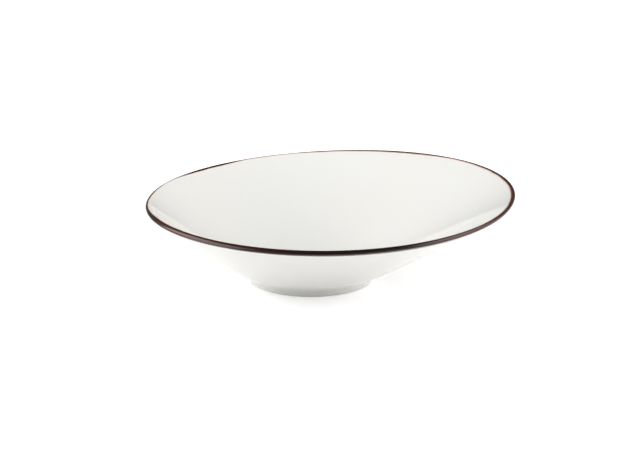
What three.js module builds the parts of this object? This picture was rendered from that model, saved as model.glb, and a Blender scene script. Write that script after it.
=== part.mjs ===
// A deep plate in white glazed porcelain with a brown glazed rim, in millimetres, standing on Z = 0.
// One section is turned round the upright axis of the foot. From the floor of the well upward the wall
// leans: the rim slides toward +X, tips up on that side and sweeps, alike on both sides of the XZ plane.
// The origin lies on the table under the centre of the rim.
import * as THREE from 'three';

// Rim
const RIM_RADIUS = 125; // to the outermost edge of the finished lip
const RIM_HEIGHT = 55.4; // centre of the rounded lip, midway between its high and low sides
const LIP_THICKNESS = 3.2;
const RIM_OFFSET = 14.4; // from the axis of the foot to the centre of the rim
const RIM_TIP = 3.9; // rise on the high side and fall on the low side
const RIM_SWEEP = 1; // rise at the high and low sides and fall halfway between them

// Well and wall
const FLOOR_THICKNESS = 4.8;
const BEND_START = 36; // where the wall starts to rise from the floor
const BEND_RADIUS = 49; // where the straight lines of floor and wall would meet
const WELL_FLAT_RADIUS = 25; // flat middle of the well, inside its soft corner
const WELL_CORNER_RISE = 8; // from the floor of the well to the top of its soft corner

// Foot ring
const FOOT_RADIUS = 42; // at the table
const FOOT_WIDTH = 5; // at the table
const FOOT_DRAFT = 45; // degrees by which the outer side of the ring slopes away from upright
const FOOT_INNER_DRAFT = 18; // degrees by which its inner side does
const FOOT_RECESS = 2.2; // depth of the base inside the ring
const FOOT_FILLET = 0.8; // in the corner where the ring joins the base
const COVE_REACH = 3; // along the wall, of the soft corner where the ring joins it
const COVE_DROP = 0.75; // share of the glazed side of the ring that this corner takes
const FOOT_ROUNDING = 0.4; // on the two edges of the bearing face

// Glaze
const GLAZE_THICKNESS = 0.3;
const DRY_HEIGHT = 0.5; // bare lower part of the foot ring
const BAND_REACH = 0.5; // brown glaze on the outer wall below the rounded lip

// Facets
const TURN_STEPS = 56; // round the plate
const WALL_STEPS = 8; // up each face of the wall
const WELL_CORNER_STEPS = 4; // in the soft corner of the well
const LIP_STEPS = 6; // over the rounded lip
const FOOT_CORNER_STEPS = 4; // in each soft corner and rounding of the foot

const wellHeight = FOOT_RECESS + FLOOR_THICKNESS;
const outerDraft = THREE.MathUtils.degToRad(FOOT_DRAFT);
const innerDraft = THREE.MathUtils.degToRad(FOOT_INNER_DRAFT);

// The middle of the wall's thickness, from the floor to the centre of the lip.
const wallLine = new THREE.QuadraticBezierCurve(
  new THREE.Vector2(BEND_START, FOOT_RECESS + FLOOR_THICKNESS / 2),
  new THREE.Vector2(BEND_RADIUS, FOOT_RECESS + FLOOR_THICKNESS / 2),
  new THREE.Vector2(RIM_RADIUS - LIP_THICKNESS / 2, RIM_HEIGHT),
);
const WELL_SIDE = 1;
const OUTER_SIDE = -1;

// How far along the wall line the brown glaze ends outside, where the line runs at its end speed.
const bandEnd = 1 - BAND_REACH / (2 * wallLine.v1.distanceTo(wallLine.v2));

// Shares from 0 to 1 in equal steps, both ends included.
function shares(steps) {
  return Array.from({ length: steps + 1 }, (_, step) => step / steps);
}

// A point on one face of the wall, a given depth below the finished surface.
function wallPoint(share, side, depth) {
  const along = wallLine.getTangent(share);
  const across = new THREE.Vector2(-along.y, along.x);
  const thickness = THREE.MathUtils.lerp(FLOOR_THICKNESS, LIP_THICKNESS, share);
  return wallLine.getPoint(share).addScaledVector(across, side * (thickness / 2 - depth));
}

// A point on the rounded lip, from share 0 at the well to share 1 outside.
function lipPoint(share, depth) {
  const along = wallLine.getTangent(1);
  const across = new THREE.Vector2(-along.y, along.x);
  const radius = LIP_THICKNESS / 2 - depth;
  const angle = Math.PI * share;
  return wallLine.getPoint(1)
    .addScaledVector(across, radius * Math.cos(angle))
    .addScaledVector(along, radius * Math.sin(angle));
}

// A point on the outer side of the foot ring.
function footOutside(height, depth) {
  const surface = FOOT_RADIUS + height * Math.tan(outerDraft);
  return new THREE.Vector2(surface - depth / Math.cos(outerDraft), height);
}

// A point on the inner side of the foot ring.
function footInside(height, depth) {
  const surface = FOOT_RADIUS - FOOT_WIDTH - height * Math.tan(innerDraft);
  return new THREE.Vector2(surface + depth / Math.cos(innerDraft), height);
}

// How far along the wall line one of its faces stops being part of a corner, found by halving.
function shareAfterCorner(side, depth, inCorner) {
  let low = 0;
  let high = 1;
  while (high - low > Number.EPSILON) {
    const middle = (low + high) / 2;
    const below = inCorner(wallPoint(middle, side, depth));
    low = below ? middle : low;
    high = below ? high : middle;
  }
  return high;
}

// A rounded corner between two straight runs.
function corner(start, sharpCorner, end, steps) {
  return new THREE.QuadraticBezierCurve(start, sharpCorner, end).getPoints(steps);
}

// Points up one face of the wall between two shares of the wall line.
function wallFace(from, to, side, depth) {
  return shares(WALL_STEPS).map((share) => wallPoint(THREE.MathUtils.lerp(from, to, share), side, depth));
}

// Food side, from the axis through the soft corner to the brown glaze.
function wellLine(depth) {
  const level = wellHeight - depth;
  const cornerShare = shareAfterCorner(WELL_SIDE, depth, (point) => point.y < level + WELL_CORNER_RISE);
  const wall = wallFace(cornerShare, 1, WELL_SIDE, depth);
  const cornerEnd = wall.shift();
  const along = wallLine.getTangent(cornerShare);
  const sharpCorner = new THREE.Vector2(cornerEnd.x - (WELL_CORNER_RISE * along.x) / along.y, level);
  const flatEdge = new THREE.Vector2(WELL_FLAT_RADIUS, level);
  const softCorner = corner(flatEdge, sharpCorner, cornerEnd, WELL_CORNER_STEPS);
  return [new THREE.Vector2(0, level), ...softCorner, ...wall];
}

// Brown glaze, from the edge of the well over the lip to the outside.
function bandLine(depth) {
  const lip = shares(LIP_STEPS).map((share) => lipPoint(share, depth));
  return [...lip, wallPoint(bandEnd, OUTER_SIDE, depth)];
}

// Outside, from the brown glaze down the wall and the side of the foot ring to its bare part.
function outerLine(depth) {
  const overFoot = (point) => point.x < footOutside(point.y, depth).x + COVE_REACH;
  const wall = wallFace(bandEnd, shareAfterCorner(OUTER_SIDE, depth, overFoot), OUTER_SIDE, depth);
  const wallEnd = wall.pop();
  const sharpCorner = footOutside(wallEnd.y, depth);
  const coveEnd = footOutside(THREE.MathUtils.lerp(wallEnd.y, DRY_HEIGHT, COVE_DROP), depth);
  const cove = corner(wallEnd, sharpCorner, coveEnd, FOOT_CORNER_STEPS);
  return [...wall, ...cove, footOutside(DRY_HEIGHT, depth)];
}

// Recess of the base, from the bare part of the foot ring to the axis.
function baseLine(depth) {
  const level = FOOT_RECESS + depth;
  const sharpCorner = footInside(level, depth);
  const baseEnd = new THREE.Vector2(sharpCorner.x - FOOT_FILLET, level);
  const sideEnd = footInside(level - FOOT_FILLET, depth);
  const fillet = corner(sideEnd, sharpCorner, baseEnd, FOOT_CORNER_STEPS);
  return [footInside(DRY_HEIGHT, depth), ...fillet, new THREE.Vector2(0, level)];
}

// Bare bearing face of the foot ring with its two rounded edges.
function bareFootLine() {
  const outerEdge = footOutside(0, GLAZE_THICKNESS);
  const innerEdge = footInside(0, GLAZE_THICKNESS);
  const outerEnd = new THREE.Vector2(outerEdge.x - FOOT_ROUNDING, 0);
  const innerEnd = new THREE.Vector2(innerEdge.x + FOOT_ROUNDING, 0);
  return [
    ...corner(footOutside(FOOT_ROUNDING, GLAZE_THICKNESS), outerEdge, outerEnd, FOOT_CORNER_STEPS),
    ...corner(innerEnd, innerEdge, footInside(FOOT_ROUNDING, GLAZE_THICKNESS), FOOT_CORNER_STEPS),
  ];
}

// Section of a layer of glaze on the body.
function glazeSection(line) {
  return [...line(GLAZE_THICKNESS), ...line(0).reverse()];
}

// Section of the body under the glaze. Neighbouring lines share an end point, which is kept once.
function bodySection() {
  return [
    ...wellLine(GLAZE_THICKNESS),
    ...bandLine(GLAZE_THICKNESS).slice(1, -1),
    ...outerLine(GLAZE_THICKNESS),
    ...bareFootLine(),
    ...baseLine(GLAZE_THICKNESS),
  ];
}

// Turns a point of the section round the axis of the foot and leans it with the wall.
function leaningPoint(point, angle) {
  const x = point.x * Math.cos(angle);
  const y = point.x * Math.sin(angle);
  const toHighSide = x / RIM_RADIUS;
  const rise = Math.max(point.y - wellHeight, 0) / (RIM_HEIGHT - wellHeight);
  const lean = rise ** 2;
  const lift = RIM_TIP * toHighSide + RIM_SWEEP * (2 * toHighSide ** 2 - 1);
  return new THREE.Vector3(x + RIM_OFFSET * (lean - 1), y, point.y + lean * lift);
}

// Closed leaning surface of a section. Two sections that share a line get the same facets there,
// because each pair of rings is split along the diagonal that starts on its inner, lower ring.
function leaningTurn(section) {
  const outline = THREE.ShapeUtils.isClockWise(section) ? section.toReversed() : section;
  const points = [];
  const rings = outline.map((point) => {
    const onAxis = point.x === 0;
    const first = points.length;
    const copies = onAxis ? 1 : TURN_STEPS;
    for (let step = 0; step < copies; step++) {
      points.push(leaningPoint(point, (2 * Math.PI * step) / TURN_STEPS));
    }
    return (step) => first + (step % copies);
  });

  const facets = [];
  outline.forEach((point, index) => {
    const nextIndex = (index + 1) % outline.length;
    const next = outline[nextIndex];
    const startsHere = point.x < next.x || (point.x === next.x && point.y < next.y);
    for (let step = 0; step < TURN_STEPS; step++) {
      const [a, b] = [rings[index](step), rings[index](step + 1)];
      const [c, d] = [rings[nextIndex](step + 1), rings[nextIndex](step)];
      const pair = startsHere ? [[a, b, c], [a, c, d]] : [[a, b, d], [b, c, d]];
      facets.push(...pair.filter((facet) => new Set(facet).size === 3));
    }
  });

  const geometry = new THREE.BufferGeometry().setFromPoints(points);
  geometry.setIndex(facets.flat());
  geometry.computeVertexNormals();
  return geometry;
}

const biscuit = { color: 0xe4dfd6, roughness: 0.75, metalness: 0 };
const whiteGlaze = { color: 0xf3f2ee, roughness: 0.12, metalness: 0 };
const brownGlaze = { color: 0x3b221b, roughness: 0.18, metalness: 0 };

function piece(name, section, finish) {
  const mesh = new THREE.Mesh(leaningTurn(section), new THREE.MeshStandardMaterial(finish));
  mesh.name = name;
  return mesh;
}

const plate = new THREE.Group();
plate.name = 'deep_plate';
plate.add(
  piece('porcelain_body', bodySection(), biscuit),
  piece('well_glaze', glazeSection(wellLine), whiteGlaze),
  piece('rim_band', glazeSection(bandLine), brownGlaze),
  piece('outer_glaze', glazeSection(outerLine), whiteGlaze),
  piece('base_glaze', glazeSection(baseLine), whiteGlaze),
);

export default plate;
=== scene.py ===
"""Deep plate in white glazed porcelain with a brown glazed rim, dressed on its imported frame.

One upright section is turned round the axis of the foot, and the wall then leans over the foot toward +X.
Sizes are in metres. The plate stands on Z = 0, and the origin lies under the centre of its rim.
"""

import logging
import math
from collections.abc import Callable
from dataclasses import dataclass
from enum import Enum

import bmesh
import bpy
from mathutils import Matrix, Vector


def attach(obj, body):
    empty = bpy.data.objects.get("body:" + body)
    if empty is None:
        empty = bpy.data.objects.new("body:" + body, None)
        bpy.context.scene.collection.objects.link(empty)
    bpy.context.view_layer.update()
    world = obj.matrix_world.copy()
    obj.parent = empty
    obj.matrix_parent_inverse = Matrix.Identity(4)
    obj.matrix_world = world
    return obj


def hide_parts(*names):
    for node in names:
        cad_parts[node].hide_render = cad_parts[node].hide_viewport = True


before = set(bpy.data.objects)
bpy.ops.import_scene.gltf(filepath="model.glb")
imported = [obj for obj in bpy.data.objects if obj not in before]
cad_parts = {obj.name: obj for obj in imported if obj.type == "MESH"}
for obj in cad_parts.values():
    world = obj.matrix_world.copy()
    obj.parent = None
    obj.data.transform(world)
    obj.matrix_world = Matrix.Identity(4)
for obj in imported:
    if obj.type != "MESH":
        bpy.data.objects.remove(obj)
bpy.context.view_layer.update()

log = logging.getLogger("deep_plate")

Colour = tuple[float, float, float]
Place = tuple[float, float, float]
Line = list[Vector]
Socket = bpy.types.NodeSocket

MILLIMETRE = 0.001
PHOTO_WIDTH = 644
LEVEL_PART: Place = (1.0, 1.0, 0.0)  # times a direction, leaves its level part
RIM_DEPTH = "rim_depth"  # vertex attribute: millimetres inside the brown glaze, negative on the white
FOOD_SIDE = "food_side"  # vertex attribute: 1 on the side of the well, 0 on the outside


class WallFace(Enum):
    """A face of the wall. Its value is the direction across the wall's middle line."""

    WELL = 1
    OUTSIDE = -1


class Slot(Enum):
    """Material slots of the record."""

    BISCUIT = "biscuit"
    WHITE_GLAZE = "white_glaze"
    BROWN_GLAZE = "brown_glaze"


def blend(first: Vector, second: Vector, share: float) -> Vector:
    """Returns the point at a share of the way from the first point to the second."""
    return first.lerp(second, share)


def shares(steps: int) -> list[float]:
    """Returns shares from 0 to 1 in equal steps, both ends included."""
    return [step / steps for step in range(steps + 1)]


def bent_point(start: Vector, bend: Vector, end: Vector, share: float) -> Vector:
    """Returns a point on the curve that leaves start and reaches end along the lines that meet at bend."""
    return blend(blend(start, bend, share), blend(bend, end, share), share)


def corner(start: Vector, sharp: Vector, end: Vector, steps: int) -> Line:
    """Returns a rounded corner between two straight runs.

    Args:
        start: Where the rounding leaves the first run.
        sharp: Where the two runs would meet.
        end: Where the rounding joins the second run.
        steps: Number of edges in the rounding.

    Returns:
        Points from start to end.
    """
    return [bent_point(start, sharp, end, share) for share in shares(steps)]


def lengths_along(line: Line) -> list[float]:
    """Returns the distance of each point of a line from its first point, along the line."""
    lengths = [0.0]
    for first, second in zip(line, line[1:]):
        lengths.append(lengths[-1] + (second - first).length)
    return lengths


@dataclass(frozen=True)
class PlateSection:
    """Upright section of the plate, from which every piece takes its lines.

    A point of the section has its distance from the axis of the foot as x and its height as y.
    A depth is measured from the finished surface into the plate.
    """

    rim_radius: float = 0.125
    rim_height: float = 0.0554
    lip_thickness: float = 0.0032
    floor_thickness: float = 0.0048
    bend_start: float = 0.036
    bend_radius: float = 0.049
    well_flat_radius: float = 0.025
    well_corner_rise: float = 0.008
    foot_radius: float = 0.042
    foot_width: float = 0.005
    foot_draft: float = math.radians(45)
    foot_inner_draft: float = math.radians(18)
    foot_recess: float = 0.0022
    foot_fillet: float = 0.0008
    cove_reach: float = 0.003
    cove_drop: float = 0.75
    foot_rounding: float = 0.0004
    glaze_thickness: float = 0.0003
    dry_height: float = 0.0005
    band_reach: float = 0.0005
    wall_steps: int = 44
    well_corner_steps: int = 20
    lip_steps: int = 20
    foot_corner_steps: int = 10
    halving_rounds: int = 50

    @property
    def well_height(self) -> float:
        """Height of the floor of the well."""
        return self.foot_recess + self.floor_thickness

    @property
    def wall_ends(self) -> tuple[Vector, Vector, Vector]:
        """Start, bend and end of the middle line of the wall, which ends at the centre of the lip."""
        floor_middle = self.foot_recess + self.floor_thickness / 2
        start = Vector((self.bend_start, floor_middle))
        bend = Vector((self.bend_radius, floor_middle))
        end = Vector((self.rim_radius - self.lip_thickness / 2, self.rim_height))
        return start, bend, end

    @property
    def band_end(self) -> float:
        """Share of the wall's middle line at which the brown glaze ends outside."""
        _, bend, end = self.wall_ends
        return 1 - self.band_reach / (2 * (end - bend).length)

    def wall_along(self, share: float) -> Vector:
        """Returns the direction of the wall's middle line."""
        start, bend, end = self.wall_ends
        return blend(bend - start, end - bend, share).normalized()

    def wall_point(self, share: float, face: WallFace, depth: float) -> Vector:
        """Finds a point on one face of the wall.

        Args:
            share: Share of the wall's middle line, from the floor to the lip.
            face: Which face of the wall.
            depth: Distance below the finished surface.

        Returns:
            The point of the section.
        """
        along = self.wall_along(share)
        across = Vector((-along.y, along.x))
        thickness = self.floor_thickness + (self.lip_thickness - self.floor_thickness) * share
        return bent_point(*self.wall_ends, share) + across * face.value * (thickness / 2 - depth)

    def lip_point(self, share: float, depth: float) -> Vector:
        """Returns a point on the rounded lip, from share 0 at the well to share 1 outside."""
        along = self.wall_along(1)
        across = Vector((-along.y, along.x))
        radius = self.lip_thickness / 2 - depth
        angle = math.pi * share
        return self.wall_ends[-1] + (across * math.cos(angle) + along * math.sin(angle)) * radius

    def foot_outside(self, height: float, depth: float) -> Vector:
        """Returns a point on the outer side of the foot ring."""
        surface = self.foot_radius + height * math.tan(self.foot_draft)
        return Vector((surface - depth / math.cos(self.foot_draft), height))

    def foot_inside(self, height: float, depth: float) -> Vector:
        """Returns a point on the inner side of the foot ring."""
        surface = self.foot_radius - self.foot_width - height * math.tan(self.foot_inner_draft)
        return Vector((surface + depth / math.cos(self.foot_inner_draft), height))

    def share_after_corner(
        self, face: WallFace, depth: float, in_corner: Callable[[Vector], bool]
    ) -> float:
        """Finds by halving where a face of the wall leaves a corner.

        Args:
            face: Which face of the wall.
            depth: Distance below the finished surface.
            in_corner: Whether a point of the face still belongs to the corner.

        Returns:
            Share of the wall's middle line.
        """
        low = 0.0
        high = 1.0
        for _ in range(self.halving_rounds):
            middle = (low + high) / 2
            if in_corner(self.wall_point(middle, face, depth)):
                low = middle
            else:
                high = middle
        return high

    def wall_face(self, first: float, last: float, face: WallFace, depth: float) -> Line:
        """Returns points along one face of the wall between two shares of its middle line."""
        reached = [first + (last - first) * share for share in shares(self.wall_steps)]
        return [self.wall_point(share, face, depth) for share in reached]

    def well_line(self, depth: float) -> Line:
        """Returns the food side, from the axis through the soft corner to the brown glaze."""
        level = self.well_height - depth
        corner_top = level + self.well_corner_rise
        first = self.share_after_corner(WallFace.WELL, depth, lambda point: point.y < corner_top)
        wall = self.wall_face(first, 1, WallFace.WELL, depth)
        along = self.wall_along(first)
        sharp = Vector((wall[0].x - self.well_corner_rise * along.x / along.y, level))
        flat_edge = Vector((self.well_flat_radius, level))
        soft_corner = corner(flat_edge, sharp, wall[0], self.well_corner_steps)
        return [Vector((0, level)), *soft_corner, *wall[1:]]

    def band_line(self, depth: float) -> Line:
        """Returns the brown glaze, from the edge of the well over the lip to the outside."""
        lip = [self.lip_point(share, depth) for share in shares(self.lip_steps)]
        return [*lip, self.wall_point(self.band_end, WallFace.OUTSIDE, depth)]

    def outer_line(self, depth: float) -> Line:
        """Returns the outside, from the brown glaze down to the bare part of the foot ring."""

        def over_foot(point: Vector) -> bool:
            """Returns whether a point of the wall lies over the foot ring or its cove."""
            return point.x < self.foot_outside(point.y, depth).x + self.cove_reach

        last = self.share_after_corner(WallFace.OUTSIDE, depth, over_foot)
        wall = self.wall_face(self.band_end, last, WallFace.OUTSIDE, depth)
        cove_top = wall[-1].y
        sharp = self.foot_outside(cove_top, depth)
        cove_end = self.foot_outside(cove_top + (self.dry_height - cove_top) * self.cove_drop, depth)
        cove = corner(wall[-1], sharp, cove_end, self.foot_corner_steps)
        return [*wall[:-1], *cove, self.foot_outside(self.dry_height, depth)]

    def base_line(self, depth: float) -> Line:
        """Returns the recess of the base, from the bare part of the foot ring to the axis."""
        level = self.foot_recess + depth
        sharp = self.foot_inside(level, depth)
        base_end = Vector((sharp.x - self.foot_fillet, level))
        side_end = self.foot_inside(level - self.foot_fillet, depth)
        fillet = corner(side_end, sharp, base_end, self.foot_corner_steps)
        return [self.foot_inside(self.dry_height, depth), *fillet, Vector((0, level))]

    def bare_foot_line(self) -> Line:
        """Returns the bare bearing face of the foot ring with its two rounded edges."""
        depth = self.glaze_thickness
        outer_sharp = self.foot_outside(0, depth)
        inner_sharp = self.foot_inside(0, depth)
        outer_end = Vector((outer_sharp.x - self.foot_rounding, 0))
        inner_end = Vector((inner_sharp.x + self.foot_rounding, 0))
        outer_top = self.foot_outside(self.foot_rounding, depth)
        inner_top = self.foot_inside(self.foot_rounding, depth)
        return [
            *corner(outer_top, outer_sharp, outer_end, self.foot_corner_steps),
            *corner(inner_end, inner_sharp, inner_top, self.foot_corner_steps),
        ]


@dataclass(frozen=True)
class WallLean:
    """How the wall leans over the foot: the rim slides toward +X, tips up on that side and sweeps."""

    rim_offset: float = 0.0144
    rim_tip: float = 0.0039
    rim_sweep: float = 0.001

    def leaned(self, point: Vector, section: PlateSection) -> Vector:
        """Returns where a point of the upright turned form goes."""
        to_high_side = point.x / section.rim_radius
        rise = max(point.z - section.well_height, 0) / (section.rim_height - section.well_height)
        lean = rise**2
        lift = self.rim_tip * to_high_side + self.rim_sweep * (2 * to_high_side**2 - 1)
        return Vector((point.x + self.rim_offset * (lean - 1), point.y, point.z + lean * lift))


@dataclass(frozen=True)
class SectionPoint:
    """A point of a piece's section with the values that its glaze reads.

    A point without these values lies far from the brown glaze.
    """

    place: Vector
    rim_depth: float = -100.0
    food_side: float = 0.0


@dataclass(frozen=True)
class LeaningLathe:
    """Turns sections round the axis of the foot and leans what it has turned."""

    section: PlateSection
    lean: WallLean
    turn_steps: int = 192
    weld: float = 1e-6
    crease: float = math.radians(35)

    def turned(self, name: str, points: list[SectionPoint]) -> bpy.types.Object:
        """Turns a section into a closed piece.

        Args:
            name: Name of the piece.
            points: The section. One that starts on the axis ends there too, and any other is a closed loop.

        Returns:
            The piece, in place and without a finish.
        """
        form = bmesh.new()
        rim_depth = form.verts.layers.float.new(RIM_DEPTH)
        food_side = form.verts.layers.float.new(FOOD_SIDE)
        ring = []
        for point in points:
            vertex = form.verts.new((point.place.x, 0, point.place.y))
            vertex[rim_depth] = point.rim_depth
            vertex[food_side] = point.food_side
            ring.append(vertex)
        on_axis = points[0].place.x == 0
        following = ring[1:] if on_axis else [*ring[1:], ring[0]]
        edges = [form.edges.new(ends) for ends in zip(ring, following)]
        bmesh.ops.spin(
            form,
            geom=[*ring, *edges],
            cent=(0, 0, 0),
            axis=(0, 0, 1),
            angle=math.tau,
            steps=self.turn_steps,
            use_merge=True,
        )
        bmesh.ops.remove_doubles(form, verts=form.verts[:], dist=self.weld)
        bmesh.ops.recalc_face_normals(form, faces=form.faces[:])
        for vertex in form.verts:
            vertex.co = self.lean.leaned(vertex.co, self.section)
        mesh = bpy.data.meshes.new(name)
        form.to_mesh(mesh)
        form.free()
        mesh.shade_smooth()
        mesh.set_sharp_from_angle(angle=self.crease)
        piece = bpy.data.objects.new(name, mesh)
        bpy.context.collection.objects.link(piece)
        return piece


class NodeBoard:
    """A node tree with short ways to place and join its nodes."""

    def __init__(self, tree: bpy.types.NodeTree) -> None:
        """Keeps the node tree that is worked on."""
        self.tree = tree

    def place(self, kind: str, **settings: object) -> bpy.types.Node:
        """Returns a new node of a kind with its settings made."""
        node = self.tree.nodes.new(kind)
        for setting, value in settings.items():
            setattr(node, setting, value)
        return node

    def feed(self, target: Socket, source: Socket | float | Colour) -> None:
        """Joins a socket to an input, or sets the input to a plain value."""
        if isinstance(source, bpy.types.NodeSocket):
            self.tree.links.new(source, target)
        elif isinstance(source, tuple) and len(target.default_value) > len(source):
            target.default_value = (*source, 1)
        else:
            target.default_value = source

    def maths(self, operation: str, *values: Socket | float) -> Socket:
        """Returns the result of a sum on one to three values."""
        node = self.place("ShaderNodeMath", operation=operation)
        for target, value in zip(node.inputs, values):
            self.feed(target, value)
        return node.outputs["Value"]

    def ramp(self, value: Socket, low: float, high: float, to_low: float = 0, to_high: float = 1) -> Socket:
        """Returns a value eased between two results.

        Args:
            value: What is eased.
            low: Value at which the first result ends.
            high: Value from which the second result holds.
            to_low: First result.
            to_high: Second result.

        Returns:
            The eased value.
        """
        node = self.place("ShaderNodeMapRange", interpolation_type="SMOOTHSTEP")
        for name, source in (
            ("Value", value),
            ("From Min", low),
            ("From Max", high),
            ("To Min", to_low),
            ("To Max", to_high),
        ):
            self.feed(node.inputs[name], source)
        return node.outputs["Result"]

    def noise(self, scale: Socket | float, detail: float, shift: Socket | float = 0.0) -> Socket:
        """Returns a soft noise about 0.5 that stays with the piece.

        Args:
            scale: Waves to the metre.
            detail: How many finer waves are laid over it.
            shift: Chooses one noise out of many.

        Returns:
            The value of the noise.
        """
        node = self.place("ShaderNodeTexNoise", noise_dimensions="4D")
        self.feed(node.inputs["Vector"], self.object_coordinates())
        self.feed(node.inputs["W"], shift)
        self.feed(node.inputs["Scale"], scale)
        self.feed(node.inputs["Detail"], detail)
        return node.outputs["Fac"]

    def mixed(self, share: Socket | float, first: Socket | Colour, second: Socket | Colour) -> Socket:
        """Returns a colour between two colours."""
        node = self.place("ShaderNodeMix", data_type="RGBA")
        inputs = [socket for socket in node.inputs if socket.type == "RGBA"]
        self.feed(node.inputs["Factor"], share)
        self.feed(inputs[0], first)
        self.feed(inputs[1], second)
        return next(socket for socket in node.outputs if socket.type == "RGBA")

    def bump(self, height: Socket, strength: float, distance: float) -> Socket:
        """Returns a normal that follows a height."""
        node = self.place("ShaderNodeBump")
        self.feed(node.inputs["Height"], height)
        node.inputs["Strength"].default_value = strength
        node.inputs["Distance"].default_value = distance
        return node.outputs["Normal"]

    def attribute(self, name: str) -> Socket:
        """Returns the value of a vertex attribute."""
        return self.place("ShaderNodeAttribute", attribute_name=name).outputs["Fac"]

    def object_coordinates(self) -> Socket:
        """Returns coordinates that stay with the piece."""
        return self.place("ShaderNodeTexCoord").outputs["Object"]


class EffectGroup:
    """A node group with named inputs and outputs, made once and placed in several finishes."""

    def __init__(self, name: str, inputs: tuple[str, ...], outputs: tuple[str, ...]) -> None:
        """Makes an empty group of plain values."""
        self.tree = bpy.data.node_groups.new(name, "ShaderNodeTree")
        for socket in inputs:
            self.tree.interface.new_socket(name=socket, in_out="INPUT", socket_type="NodeSocketFloat")
        for socket in outputs:
            self.tree.interface.new_socket(name=socket, in_out="OUTPUT", socket_type="NodeSocketFloat")
        self.board = NodeBoard(self.tree)
        self.given = self.board.place("NodeGroupInput").outputs
        self.result = self.board.place("NodeGroupOutput").inputs

    def placed(self, board: NodeBoard, **values: Socket | float) -> bpy.types.NodeOutputs:
        """Places the group in a finish.

        Args:
            board: Node tree of the finish.
            values: Inputs of the group, by name.

        Returns:
            The group's outputs.
        """
        node = board.place("ShaderNodeGroup", node_tree=self.tree)
        for name, value in values.items():
            board.feed(node.inputs[name], value)
        return node.outputs


@dataclass(frozen=True)
class FiringEffect:
    """Uneven tone and a slight ripple, as a kiln leaves them on clay and glaze."""

    tone_detail: float = 1.0
    ripple_detail: float = 1.0
    tone_low: float = 0.46
    tone_high: float = 0.6

    def group(self) -> EffectGroup:
        """Returns the group, with the scales of tone and ripple and the shift of the tone as inputs."""
        inputs = ("tone_scale", "tone_shift", "ripple_scale")
        effect = EffectGroup("firing_effect", inputs, ("tone", "ripple"))
        board = effect.board
        tone = board.noise(effect.given["tone_scale"], self.tone_detail, effect.given["tone_shift"])
        ripple = board.noise(effect.given["ripple_scale"], self.ripple_detail)
        board.feed(effect.result["tone"], board.ramp(tone, self.tone_low, self.tone_high))
        board.feed(effect.result["ripple"], ripple)
        return effect


@dataclass(frozen=True)
class BrushStroke:
    """A place on the rim where the brown glaze was laid wider or narrower.

    Its angles are in degrees, from +X, where the rim stands highest, toward +Y.
    Its widths are in millimetres.
    """

    around: float
    spread: float
    in_well: float = 0.0
    outside: float = 0.0

    def outward(self) -> Place:
        """Returns the direction from the centre of the rim to the stroke."""
        angle = math.radians(self.around)
        return math.cos(angle), math.sin(angle), 0.0


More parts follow.
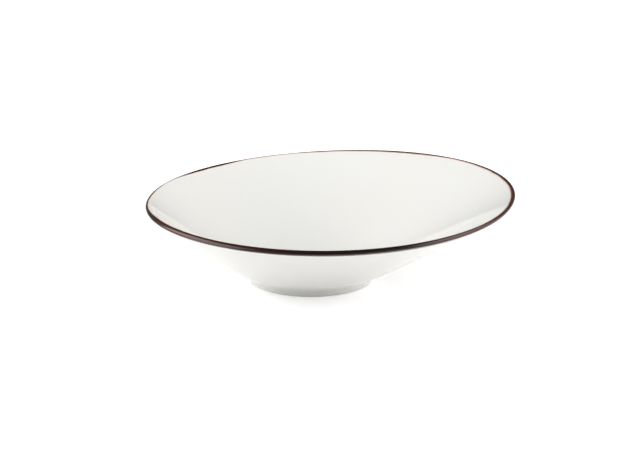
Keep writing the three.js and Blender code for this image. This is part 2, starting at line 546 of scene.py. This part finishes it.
@dataclass(frozen=True)
class BrownEdgeEffect:
    """Edge of the brown glaze, which wanders a little and bleeds into the white.

    Its reaches are in millimetres, and its scales in waves to the metre.
    """

    slow_scale: float = 14.0
    slow_shift: float = 24.0
    slow_detail: float = 1.0
    slow_wander: float = 1.2
    quick_scale: float = 90.0
    quick_detail: float = 2.0
    quick_wander: float = 0.25
    noise_middle: float = 0.5
    outside_share: float = 0.8
    outside_start: float = -0.4
    well_start: float = -0.3
    softness: float = 0.2
    bleed: float = 1.5
    outside_stain: float = 0.15
    thin_reach: float = 1.1
    thin_from: float = 0.35
    thin_full: float = 0.6
    strokes: tuple[BrushStroke, ...] = (
        BrushStroke(around=148, spread=34, in_well=-0.6, outside=-1.6),
        BrushStroke(around=174, spread=28, in_well=-1.15),
        BrushStroke(around=111, spread=18, in_well=0.7),
        BrushStroke(around=87, spread=18, in_well=-0.5),
        BrushStroke(around=51, spread=28, in_well=0.35),
        BrushStroke(around=7, spread=20, in_well=-0.3),
        BrushStroke(around=-95, spread=58, outside=1.2),
        BrushStroke(around=-63, spread=36, outside=0.4),
        BrushStroke(around=-43, spread=24, in_well=0.25),
    )

    def wander(self, board: NodeBoard) -> Socket:
        """Returns how far the edge wanders, in slow and quick waves."""
        slow = board.noise(self.slow_scale, self.slow_detail, self.slow_shift)
        quick = board.noise(self.quick_scale, self.quick_detail)
        slow = board.maths("SUBTRACT", slow, self.noise_middle)
        quick = board.maths("SUBTRACT", quick, self.noise_middle)
        quick_reach = board.maths("MULTIPLY", quick, 2 * self.quick_wander)
        return board.maths("MULTIPLY_ADD", slow, 2 * self.slow_wander, quick_reach)

    def brushed(self, board: NodeBoard, side: Socket) -> Socket:
        """Returns how much wider the strokes of the brush make the brown glaze.

        Args:
            board: Node tree of the effect.
            side: 1 on the side of the well, 0 on the outside.

        Returns:
            The width to be added.
        """
        level = board.place("ShaderNodeVectorMath", operation="MULTIPLY")
        board.feed(level.inputs[0], board.object_coordinates())
        level.inputs[1].default_value = LEVEL_PART
        outward = board.place("ShaderNodeVectorMath", operation="NORMALIZE")
        board.feed(outward.inputs[0], level.outputs["Vector"])
        total: Socket | float = 0.0
        for stroke in self.strokes:
            turned = board.place("ShaderNodeVectorMath", operation="DOT_PRODUCT")
            board.feed(turned.inputs[0], outward.outputs["Vector"])
            turned.inputs[1].default_value = stroke.outward()
            share = board.ramp(turned.outputs["Value"], math.cos(math.radians(stroke.spread)), 1)
            width = board.ramp(side, 0, 1, stroke.outside, stroke.in_well)
            total = board.maths("MULTIPLY_ADD", share, width, total)
        return total

    def group(self) -> EffectGroup:
        """Returns the group, which tells how brown, how stained and how thick the glaze is."""
        effect = EffectGroup("brown_edge_effect", (RIM_DEPTH, FOOD_SIDE), ("brown", "stain", "thick"))
        board = effect.board
        side = effect.given[FOOD_SIDE]
        amount = board.ramp(side, 0, 1, self.outside_share, 1)
        start = board.ramp(side, 0, 1, self.outside_start, self.well_start)
        reach = board.maths("MULTIPLY_ADD", self.wander(board), amount, effect.given[RIM_DEPTH])
        reach = board.maths("ADD", reach, self.brushed(board, side))
        depth = board.maths("SUBTRACT", reach, start)
        near = board.ramp(depth, -self.bleed, 0)
        near = board.maths("MULTIPLY", near, near)
        stain = board.maths("MULTIPLY", near, board.ramp(side, 0, 1, self.outside_stain, 1))
        thin = board.ramp(depth, 0, self.thin_reach, 1, 0)
        thin = board.maths("MULTIPLY", thin, board.ramp(side, self.thin_from, self.thin_full))
        board.feed(effect.result["brown"], board.ramp(depth, -self.softness, self.softness))
        board.feed(effect.result["stain"], stain)
        board.feed(effect.result["thick"], board.maths("SUBTRACT", 1.0, thin))
        return effect


@dataclass(frozen=True)
class WhiteGlazeTone:
    """Colours of the white glaze and of the stain that the brown leaves in it."""

    warm: Colour = (0.88, 0.868, 0.838)
    cool: Colour = (0.865, 0.866, 0.842)
    stain: Colour = (0.72, 0.48, 0.34)
    stain_strength: float = 0.45

    def colour(self, board: NodeBoard, tone: Socket, stain: Socket) -> Socket:
        """Returns the colour of the white glaze where it has a tone and a stain."""
        white = board.mixed(tone, self.warm, self.cool)
        share = board.maths("MULTIPLY", stain, self.stain_strength)
        return board.mixed(share, white, self.stain)


@dataclass(frozen=True)
class BrownGlazeTone:
    """Colours of the brown glaze: black-brown, red-brown in patches, and rust where it is thin."""

    black_brown: Colour = (0.016, 0.007, 0.0056)
    red_brown: Colour = (0.062, 0.016, 0.008)
    rust: Colour = (0.2, 0.08, 0.045)

    def colour(self, board: NodeBoard, tone: Socket, thick: Socket) -> Socket:
        """Returns the colour of the brown glaze where it has a tone and a thickness."""
        body = board.mixed(tone, self.black_brown, self.red_brown)
        return board.mixed(thick, self.rust, body)


@dataclass(frozen=True)
class RimGlaze:
    """Glossy glaze that is white away from the rim and brown on it, with one wandering edge."""

    name: str
    ripple_scale: float
    ripple_strength: float
    smoothest: float
    roughest: float
    shine: float
    tone_scale: float = 9.0
    tone_shift: float = 46.0
    ripple_height: float = 0.0002
    white: WhiteGlazeTone = WhiteGlazeTone()
    brown: BrownGlazeTone = BrownGlazeTone()

    def material(self, firing: EffectGroup, edge: EffectGroup) -> bpy.types.Material:
        """Builds the finish.

        Args:
            firing: Group for uneven tone and ripple.
            edge: Group for the edge of the brown glaze.

        Returns:
            The material.
        """
        material = bpy.data.materials.new(self.name)
        material.use_nodes = True
        board = NodeBoard(material.node_tree)
        surface = material.node_tree.nodes["Principled BSDF"].inputs
        fired = firing.placed(
            board, tone_scale=self.tone_scale, tone_shift=self.tone_shift, ripple_scale=self.ripple_scale
        )
        rim_depth = board.attribute(RIM_DEPTH)
        food_side = board.attribute(FOOD_SIDE)
        rim = edge.placed(board, rim_depth=rim_depth, food_side=food_side)
        white = self.white.colour(board, fired["tone"], rim["stain"])
        brown = self.brown.colour(board, fired["tone"], rim["thick"])
        board.feed(surface["Base Color"], board.mixed(rim["brown"], white, brown))
        board.feed(surface["Roughness"], board.ramp(fired["tone"], 0, 1, self.smoothest, self.roughest))
        board.feed(surface["Normal"], board.bump(fired["ripple"], self.ripple_strength, self.ripple_height))
        surface["Specular IOR Level"].default_value = self.shine
        return material


@dataclass(frozen=True)
class BareBiscuit:
    """Matt fired porcelain without glaze, ground smooth on the foot."""

    name: str = "bare_biscuit"
    pale: Colour = (0.74, 0.7, 0.63)
    toasted: Colour = (0.64, 0.58, 0.5)
    tone_scale: float = 60.0
    grain_scale: float = 1500.0
    smoothest: float = 0.62
    roughest: float = 0.82
    smooth_grain: float = 0.3
    rough_grain: float = 0.7
    grain_strength: float = 0.35
    grain_height: float = 0.0001

    def material(self, firing: EffectGroup) -> bpy.types.Material:
        """Builds the finish from the group for uneven tone and ripple."""
        material = bpy.data.materials.new(self.name)
        material.use_nodes = True
        board = NodeBoard(material.node_tree)
        surface = material.node_tree.nodes["Principled BSDF"].inputs
        fired = firing.placed(board, tone_scale=self.tone_scale, ripple_scale=self.grain_scale)
        board.feed(surface["Base Color"], board.mixed(fired["tone"], self.pale, self.toasted))
        grain = fired["ripple"]
        roughness = board.ramp(grain, self.smooth_grain, self.rough_grain, self.smoothest, self.roughest)
        board.feed(surface["Roughness"], roughness)
        board.feed(surface["Normal"], board.bump(grain, self.grain_strength, self.grain_height))
        return material


def hand_over(piece: bpy.types.Object, node: str, material: bpy.types.Material) -> None:
    """Gives a piece its finish and lets it stand for a CAD node.

    Args:
        piece: The finished form.
        node: CAD node that the piece stands for.
        material: The finish.
    """
    piece.data.materials.append(material)
    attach(piece, "root")
    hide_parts(node)
    log.info("%s stands for %s, %d faces", piece.name, node, len(piece.data.polygons))


@dataclass(frozen=True)
class PorcelainBody:
    """The fired body under the glaze, bare only on the foot."""

    lathe: LeaningLathe

    def build(self, finish: bpy.types.Material) -> None:
        """Builds the body and dresses it."""
        section = self.lathe.section
        depth = section.glaze_thickness
        line = [
            *section.well_line(depth),
            *section.band_line(depth)[1:-1],
            *section.outer_line(depth),
            *section.bare_foot_line(),
            *section.base_line(depth),
        ]
        piece = self.lathe.turned("porcelain_foot_and_body", [SectionPoint(place) for place in line])
        hand_over(piece, "porcelain_body", finish)


@dataclass(frozen=True)
class WhiteCoat:
    """White glaze on the food side, on the outside and in the recess of the base."""

    lathe: LeaningLathe

    def layer(
        self, line: Callable[[float], Line], distances: list[float], side: float
    ) -> list[SectionPoint]:
        """Makes the section of one layer of glaze.

        Args:
            line: Line of the section at a depth.
            distances: Distance of each point of the line from the brown glaze.
            side: 1 on the side of the well, 0 on the outside.

        Returns:
            The section, from the body's side to the finished surface.
        """
        under = line(self.lathe.section.glaze_thickness)
        places = [*under, *reversed(line(0))]
        depths = [*distances, *reversed(distances)]
        return [SectionPoint(place, -away / MILLIMETRE, side) for place, away in zip(places, depths)]

    def build(self, finish: bpy.types.Material) -> None:
        """Builds the three layers and dresses them."""
        section = self.lathe.section
        well_lengths = lengths_along(section.well_line(0))
        well = self.layer(section.well_line, [well_lengths[-1] - length for length in well_lengths], 1)
        outside = self.layer(section.outer_line, lengths_along(section.outer_line(0)), 0)
        base = self.layer(section.base_line, [section.foot_radius] * len(section.base_line(0)), 0)
        for name, node, points in (
            ("white_glaze_in_well", "well_glaze", well),
            ("white_glaze_outside", "outer_glaze", outside),
            ("white_glaze_under_base", "base_glaze", base),
        ):
            hand_over(self.lathe.turned(name, points), node, finish)


@dataclass(frozen=True)
class BrownRim:
    """Brown glaze over the rounded lip."""

    lathe: LeaningLathe

    def build(self, finish: bpy.types.Material) -> None:
        """Builds the band and dresses it."""
        section = self.lathe.section
        finished = section.band_line(0)
        lengths = lengths_along(finished)
        depths = [min(length, lengths[-1] - length) / MILLIMETRE for length in lengths]
        sides = [1 - length / lengths[-1] for length in lengths]
        fired_on = section.band_line(section.glaze_thickness)
        top = [SectionPoint(*values) for values in zip(finished, depths, sides)]
        under = [SectionPoint(*values) for values in zip(fired_on, depths, sides)]
        piece = self.lathe.turned("brown_glaze_on_rim", [*under, *reversed(top)])
        hand_over(piece, "rim_band", finish)


@dataclass(frozen=True)
class PhotoCamera:
    """Camera at the angle, distance and framing of the photograph."""

    target: Place = (-0.0144, 0.0, 0.025)
    distance: float = 1.3
    azimuth: float = math.radians(-25)
    elevation: float = math.radians(16.485)
    lens: float = 106.67
    sensor_width: float = 36.0
    pixels_left: float = 11.225
    pixels_down: float = 17.98

    def direction(self, around: float, up: float) -> Vector:
        """Returns a direction from the plate.

        Args:
            around: Angle from the camera toward its left.
            up: Angle above the table.

        Returns:
            The direction, one long.
        """
        turn = self.azimuth - around
        return Vector((math.sin(turn) * math.cos(up), -math.cos(turn) * math.cos(up), math.sin(up)))

    def toward(self) -> Vector:
        """Returns the direction from the plate to the camera."""
        return self.direction(0, self.elevation)

    def build(self) -> None:
        """Makes the camera and gives it to the scene."""
        data = bpy.data.cameras.new("photo_camera")
        data.lens = self.lens
        data.sensor_width = self.sensor_width
        data.shift_x = self.pixels_left / PHOTO_WIDTH
        data.shift_y = self.pixels_down / PHOTO_WIDTH
        camera = bpy.data.objects.new("photo_camera", data)
        camera.location = Vector(self.target) + self.toward() * self.distance
        camera.rotation_euler = (-self.toward()).to_track_quat("-Z", "Y").to_euler()
        bpy.context.collection.objects.link(camera)
        bpy.context.scene.camera = camera


@dataclass(frozen=True)
class SoftBox:
    """A soft rectangular lamp that faces the plate.

    Its angles are in degrees, from the camera toward its left and up from the table.
    """

    name: str
    around: float
    up: float
    width: float
    height: float
    power: float
    distance: float = 1.8
    aim_height: float = 0.03

    def build(self, camera: PhotoCamera) -> None:
        """Hangs the lamp in its place round the plate."""
        data = bpy.data.lights.new(self.name, "AREA")
        data.shape = "RECTANGLE"
        data.size = self.width
        data.size_y = self.height
        data.energy = self.power
        toward = camera.direction(math.radians(self.around), math.radians(self.up))
        lamp = bpy.data.objects.new(self.name, data)
        lamp.location = Vector((0, 0, self.aim_height)) + toward * self.distance
        lamp.rotation_euler = (-toward).to_track_quat("-Z", "Y").to_euler()
        bpy.context.collection.objects.link(lamp)


@dataclass(frozen=True)
class StudioRoom:
    """Weak light from all round: pale to the left and right of the camera, dim before and behind it."""

    dim: float = 0.1
    pale: float = 0.45
    pale_from: float = 0.25
    pale_full: float = 0.85
    pale_side: float = math.radians(90)
    tint: Colour = (1.0, 0.995, 0.985)

    def build(self, camera: PhotoCamera) -> None:
        """Sets the light of the room."""
        world = bpy.data.worlds.new("studio_room")
        world.use_nodes = True
        bpy.context.scene.world = world
        board = NodeBoard(world.node_tree)
        light = world.node_tree.nodes["Background"].inputs
        sideways = board.place("ShaderNodeVectorMath", operation="DOT_PRODUCT")
        board.feed(sideways.inputs[0], board.place("ShaderNodeTexCoord").outputs["Generated"])
        sideways.inputs[1].default_value = camera.direction(self.pale_side, 0)
        either_side = board.maths("ABSOLUTE", sideways.outputs["Value"])
        strength = board.ramp(either_side, self.pale_from, self.pale_full, self.dim, self.pale)
        board.feed(light["Strength"], strength)
        board.feed(light["Color"], self.tint)


@dataclass(frozen=True)
class StudioFloor:
    """White table top, which glows a little, and more away from the plate, so that it looks white."""

    half_width: float = 4.0
    white: Colour = (0.91, 0.91, 0.91)
    roughness: float = 0.12
    glow: float = 0.46
    far_glow: float = 0.75
    far_from: float = 0.1
    far_full: float = 0.4

    def build(self) -> None:
        """Builds the table top."""
        form = bmesh.new()
        bmesh.ops.create_grid(form, x_segments=1, y_segments=1, size=self.half_width)
        mesh = bpy.data.meshes.new("white_table")
        form.to_mesh(mesh)
        form.free()
        mesh.materials.append(self.material())
        floor = bpy.data.objects.new("white_table", mesh)
        bpy.context.collection.objects.link(floor)

    def material(self) -> bpy.types.Material:
        """Returns the finish, which looks white to the camera and keeps the shadow."""
        material = bpy.data.materials.new("white_table")
        material.use_nodes = True
        board = NodeBoard(material.node_tree)
        surface = material.node_tree.nodes["Principled BSDF"].inputs
        ray = board.place("ShaderNodeLightPath").outputs
        seen = board.maths("ADD", ray["Is Camera Ray"], ray["Is Glossy Ray"])
        seen = board.maths("ADD", seen, ray["Is Transmission Ray"])
        seen = board.maths("MINIMUM", seen, 1.0)
        board.feed(surface["Base Color"], self.white)
        board.feed(surface["Roughness"], self.roughness)
        board.feed(surface["Emission Color"], self.white)
        away = board.place("ShaderNodeVectorMath", operation="LENGTH")
        board.feed(away.inputs[0], board.object_coordinates())
        glow = board.ramp(away.outputs["Value"], self.far_from, self.far_full, self.glow, self.far_glow)
        board.feed(surface["Emission Strength"], board.maths("MULTIPLY", seen, glow))
        return material


def main() -> None:
    """Builds the camera, the plate and the studio in order."""
    logging.basicConfig(level=logging.INFO, format="%(message)s")
    bpy.context.scene.view_settings.view_transform = "Standard"
    camera = PhotoCamera()
    camera.build()

    firing = FiringEffect().group()
    edge = BrownEdgeEffect().group()
    white_glaze = RimGlaze(
        "white_glaze",
        ripple_scale=160.0,
        ripple_strength=0.04,
        smoothest=0.06,
        roughest=0.1,
        shine=0.5,
    )
    brown_glaze = RimGlaze(
        "brown_glaze",
        ripple_scale=260.0,
        ripple_strength=0.06,
        smoothest=0.08,
        roughest=0.16,
        shine=0.3,
    )
    lathe = LeaningLathe(PlateSection(), WallLean())
    PorcelainBody(lathe).build(BareBiscuit().material(firing))
    WhiteCoat(lathe).build(white_glaze.material(firing, edge))
    BrownRim(lathe).build(brown_glaze.material(firing, edge))

    StudioFloor().build()
    StudioRoom().build(camera)
    for lamp in (
        SoftBox("left_softbox", around=94, up=35, width=2.1, height=1.2, power=32.0),
        SoftBox("left_strip", around=75, up=9, width=1.4, height=0.5, power=6.8),
        SoftBox("right_softbox", around=-88, up=35, width=1.7, height=1.2, power=24.5),
        SoftBox("right_strip", around=-70, up=9, width=1.4, height=0.5, power=8.5),
    ):
        lamp.build(camera)


if __name__ == "__main__":
    main()
